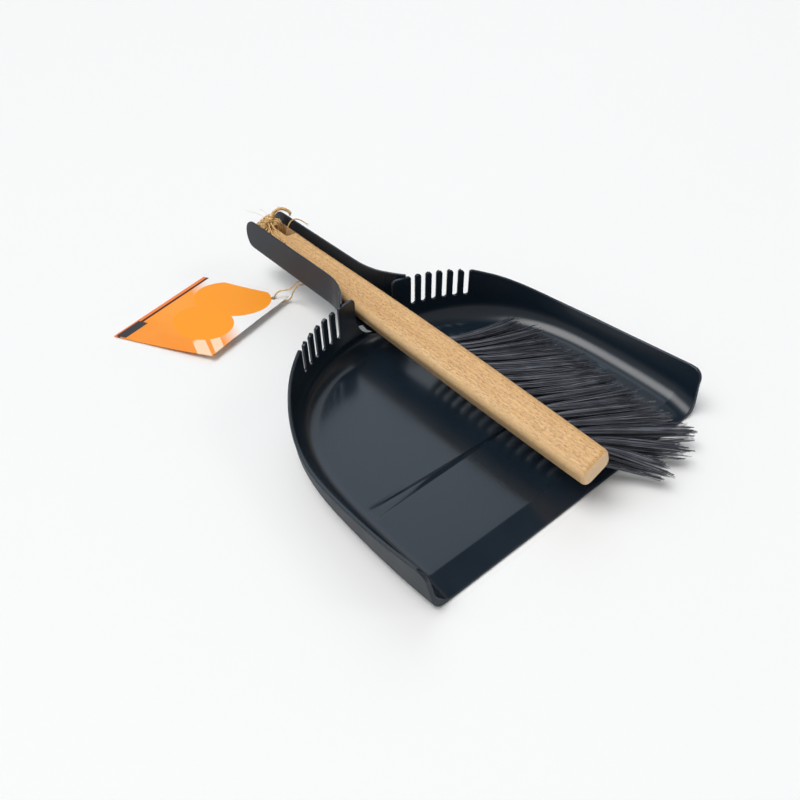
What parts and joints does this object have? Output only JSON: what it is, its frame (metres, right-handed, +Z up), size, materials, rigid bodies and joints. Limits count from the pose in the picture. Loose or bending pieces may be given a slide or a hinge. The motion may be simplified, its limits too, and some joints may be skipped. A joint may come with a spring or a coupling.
{
  "type": "dust pan and brush set",
  "caption": "Round-backed dust pan with combing slots in its rim and an open channel handle that stores a wooden-backed hand brush; twine loop and hang card.",
  "frame": {"origin": "on the pan's underside, where its two stiffening ribs cross; the surface that the pan lies on is z = 0", "axes": "+Y from the pan's lip towards the end of the handle, +X across the pan towards the bristles, +Z up out of the pan"},
  "size_m": [0.2578, 0.3718, 0.0549],
  "materials": {
    "pan_plastic": "glossy moulded, dark blue-grey",
    "beech": "sanded beech, clear satin oil",
    "bristle": "satin synthetic filament",
    "jute": "natural jute twine",
    "card": "printed card, satin"
  },
  "bodies": {
    "pan": {"dust_pan": "pan_plastic", "card_string": "jute", "hang_card": "card"},
    "brush": {"brush_bar": "beech", "bristle_tuft_1_01": "bristle", "bristle_tuft_1_02": "bristle", "bristle_tuft_1_03": "bristle", "bristle_tuft_1_04": "bristle", "bristle_tuft_1_05": "bristle", "bristle_tuft_1_06": "bristle", "bristle_tuft_1_07": "bristle", "bristle_tuft_1_08": "bristle", "bristle_tuft_1_09": "bristle", "bristle_tuft_1_10": "bristle", "bristle_tuft_1_11": "bristle", "bristle_tuft_1_12": "bristle", "bristle_tuft_1_13": "bristle", "bristle_tuft_1_14": "bristle", "bristle_tuft_1_15": "bristle", "bristle_tuft_1_16": "bristle", "bristle_tuft_2_01": "bristle", "bristle_tuft_2_02": "bristle", "bristle_tuft_2_03": "bristle", "bristle_tuft_2_04": "bristle", "bristle_tuft_2_05": "bristle", "bristle_tuft_2_06": "bristle", "bristle_tuft_2_07": "bristle", "bristle_tuft_2_08": "bristle", "bristle_tuft_2_09": "bristle", "bristle_tuft_2_10": "bristle", "bristle_tuft_2_11": "bristle", "bristle_tuft_2_12": "bristle", "bristle_tuft_2_13": "bristle", "bristle_tuft_2_14": "bristle", "bristle_tuft_2_15": "bristle", "bristle_tuft_2_16": "bristle", "bristle_tuft_3_01": "bristle", "bristle_tuft_3_02": "bristle", "bristle_tuft_3_03": "bristle", "bristle_tuft_3_04": "bristle", "bristle_tuft_3_05": "bristle", "bristle_tuft_3_06": "bristle", "bristle_tuft_3_07": "bristle", "bristle_tuft_3_08": "bristle", "bristle_tuft_3_09": "bristle", "bristle_tuft_3_10": "bristle", "bristle_tuft_3_11": "bristle", "bristle_tuft_3_12": "bristle", "bristle_tuft_3_13": "bristle", "bristle_tuft_3_14": "bristle", "bristle_tuft_3_15": "bristle", "bristle_tuft_3_16": "bristle", "hanging_twine": "jute", "twine_knot": "jute", "twine_bow": "jute", "twine_tail": "jute"}
  },
  "joints": [
    {"name": "brush_lift", "type": "slide", "parent": "pan", "child": "brush", "axis": [0, 0, 1], "range_m": [0, 0.11]}
  ]
}
